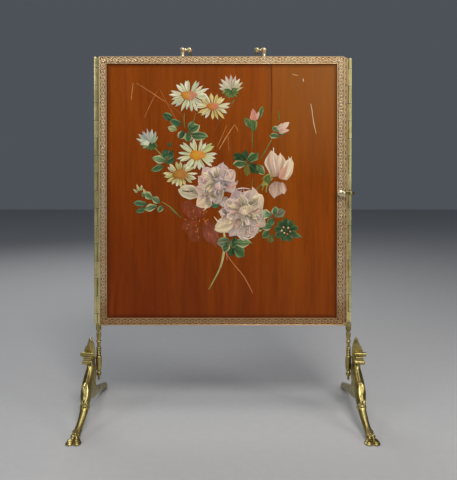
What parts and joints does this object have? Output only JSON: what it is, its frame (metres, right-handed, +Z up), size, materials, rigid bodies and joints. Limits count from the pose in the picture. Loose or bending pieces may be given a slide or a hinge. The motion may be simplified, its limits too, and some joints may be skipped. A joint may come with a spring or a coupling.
{
  "type": "folding fireplace screen",
  "caption": "Folding brass fire screen: a fixed centre leaf on turned posts and cast legs, a hinged wing on each side, and a swing handle on top.",
  "frame": {"origin": "middle of the screen on the floor, under the middle of its outer box", "axes": "+X across to the right seen from the front, +Y towards the back, +Z up"},
  "size_m": [0.561, 0.2789, 0.7324],
  "materials": {
    "brass": "aged polished",
    "border_brass": "embossed, toned rose",
    "mahogany": "varnished",
    "steel": "dull"
  },
  "bodies": {
    "stand": {"centre_top_rail": "border_brass", "centre_bottom_rail": "border_brass", "centre_left_stile": "border_brass", "centre_right_stile": "border_brass", "centre_panel": "mahogany", "left_post": "brass", "right_post": "brass", "left_post_bracket": "brass", "right_post_bracket": "brass", "bracket_screws": "brass", "left_front_leg": "brass", "right_front_leg": "brass", "left_rear_leg": "brass", "right_rear_leg": "brass", "leg_screws": "steel", "left_hinge_pin": "brass", "right_hinge_pin": "brass", "left_hinge_fixed_leaf": "brass", "right_hinge_fixed_leaf": "brass", "hinge_fixed_screws": "brass", "handle_post_left": "brass", "handle_post_right": "brass"},
    "left_wing": {"left_wing_top_rail": "border_brass", "left_wing_bottom_rail": "border_brass", "left_wing_hinge_stile": "border_brass", "left_wing_free_stile": "border_brass", "left_wing_panel": "mahogany", "left_hinge_wing_leaf": "brass", "left_wing_hinge_screws": "brass", "left_wing_catch_strap": "brass", "left_wing_knob": "brass"},
    "right_wing": {"right_wing_top_rail": "border_brass", "right_wing_bottom_rail": "border_brass", "right_wing_hinge_stile": "border_brass", "right_wing_free_stile": "border_brass", "right_wing_panel": "mahogany", "right_hinge_wing_leaf": "brass", "right_wing_hinge_screws": "brass", "right_wing_catch_strap": "brass", "right_wing_knob": "brass"},
    "bail": {"bail_handle": "brass"}
  },
  "joints": [
    {"name": "left_wing_hinge", "type": "hinge", "parent": "stand", "child": "left_wing", "pos_m": [-0.2542, -0.0065, 0.446], "axis": [0, 0, -1], "range_deg": [0, 180]},
    {"name": "right_wing_hinge", "type": "hinge", "parent": "stand", "child": "right_wing", "pos_m": [0.2542, 0.0065, 0.446], "axis": [0, 0, -1], "range_deg": [0, 180]},
    {"name": "bail_swing", "type": "hinge", "parent": "stand", "child": "bail", "pos_m": [0, 0, 0.7275], "axis": [1, 0, 0], "range_deg": [0, 208]}
  ]
}
